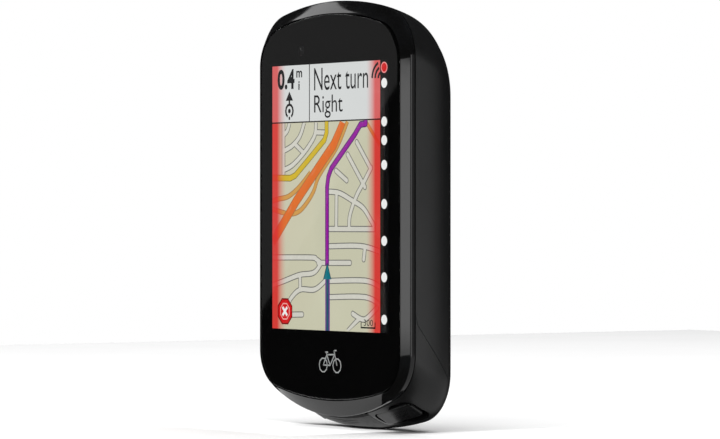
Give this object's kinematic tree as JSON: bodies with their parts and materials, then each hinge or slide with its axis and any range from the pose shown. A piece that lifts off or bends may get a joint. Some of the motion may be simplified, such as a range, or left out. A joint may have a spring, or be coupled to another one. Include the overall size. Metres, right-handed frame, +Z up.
{
  "type": "cycling computer",
  "caption": "Handlebar cycling computer: slim upright case with a touch display, thumb and side push buttons, a hinged charging-port cover and a quarter-turn foot.",
  "frame": {"origin": "middle of the quarter-turn foot's flat end face, behind the case", "axes": "+Z up along the case's long axis; +Y out of the back along the foot's axis, so the screen faces -Y; +X to the right when looking at the screen"},
  "size_m": [0.0503, 0.0192, 0.0818],
  "materials": {
    "lens_glass": "clear hardened cover glass over a black printed border",
    "gloss_black": "gloss",
    "satin_black": "satin moulded",
    "button_black": "semi-gloss",
    "rubber_black": "matte moulded",
    "display_panel": "lit colour display",
    "diffuser": "white diffuser film",
    "steel": "stamped",
    "gold": "gold plated",
    "circuit_board": "green solder mask",
    "chip_black": "moulded epoxy",
    "ceramic": "fired ceramic",
    "foil": "laminated foil",
    "foam": "closed-cell foam tape",
    "flex_circuit": "amber polyimide",
    "silicone": "silicone",
    "wire_red": "insulation",
    "wire_black": "insulation"
  },
  "bodies": {
    "housing": {"cover_glass": "lens_glass", "front_bezel": "gloss_black", "chin_housing": "satin_black", "rear_shell": "satin_black", "glass_adhesive": "foam", "display_panel": "display_panel", "backlight": "diffuser", "display_tray": "steel", "light_sensor": "chip_black", "main_board": "circuit_board", "processor_shield": "steel", "radio_shield": "steel", "processor_chip": "chip_black", "radio_chip": "chip_black", "charger_chip": "chip_black", "pressure_sensor": "steel", "gps_antenna": "ceramic", "gps_antenna_plate": "foil", "radio_antenna": "flex_circuit", "display_socket": "chip_black", "touch_socket": "chip_black", "battery_socket": "chip_black", "display_flex": "flex_circuit", "touch_flex": "flex_circuit", "battery": "foil", "battery_board": "circuit_board", "battery_pad": "foam", "battery_lead_positive": "wire_red", "battery_lead_negative": "wire_black", "case_gasket": "silicone", "usb_port": "steel", "usb_tongue": "chip_black", "contact_carrier": "chip_black", "buzzer": "steel", "vent_membrane": "diffuser", "case_screw_1": "steel", "case_screw_2": "steel", "case_screw_3": "steel", "case_screw_4": "steel", "charge_contact_1": "gold", "charge_contact_2": "gold", "charge_contact_3": "gold", "charge_contact_4": "gold", "charge_contact_5": "gold", "lap_button_seal": "silicone", "lap_button_switch": "steel", "lap_button_board": "circuit_board", "start_button_seal": "silicone", "start_button_switch": "steel", "start_button_board": "circuit_board", "power_button_seal": "silicone", "power_button_switch": "steel"},
    "lap_button": {"lap_button": "button_black", "lap_button_plunger": "chip_black"},
    "start_button": {"start_button": "button_black", "start_button_plunger": "chip_black"},
    "power_button": {"power_button": "satin_black", "power_button_plunger": "chip_black"},
    "usb_cover": {"usb_cover": "rubber_black"}
  },
  "joints": [
    {"name": "lap_button_press", "type": "slide", "parent": "housing", "child": "lap_button", "axis": [0.2731, 0.4953, 0.8247], "range_m": [0, 0.0006], "stiffness_N_per_m": 3000},
    {"name": "start_button_press", "type": "slide", "parent": "housing", "child": "start_button", "axis": [-0.2731, 0.4953, 0.8247], "range_m": [0, 0.0006], "stiffness_N_per_m": 3000},
    {"name": "power_button_press", "type": "slide", "parent": "housing", "child": "power_button", "axis": [1, 0, 0], "range_m": [0, 0.0005], "stiffness_N_per_m": 3000},
    {"name": "usb_cover_hinge", "type": "hinge", "parent": "housing", "child": "usb_cover", "pos_m": [-0.0093, -0.0153, -0.0398], "axis": [0, 0.9545, -0.2983], "range_deg": [0, 110]}
  ]
}
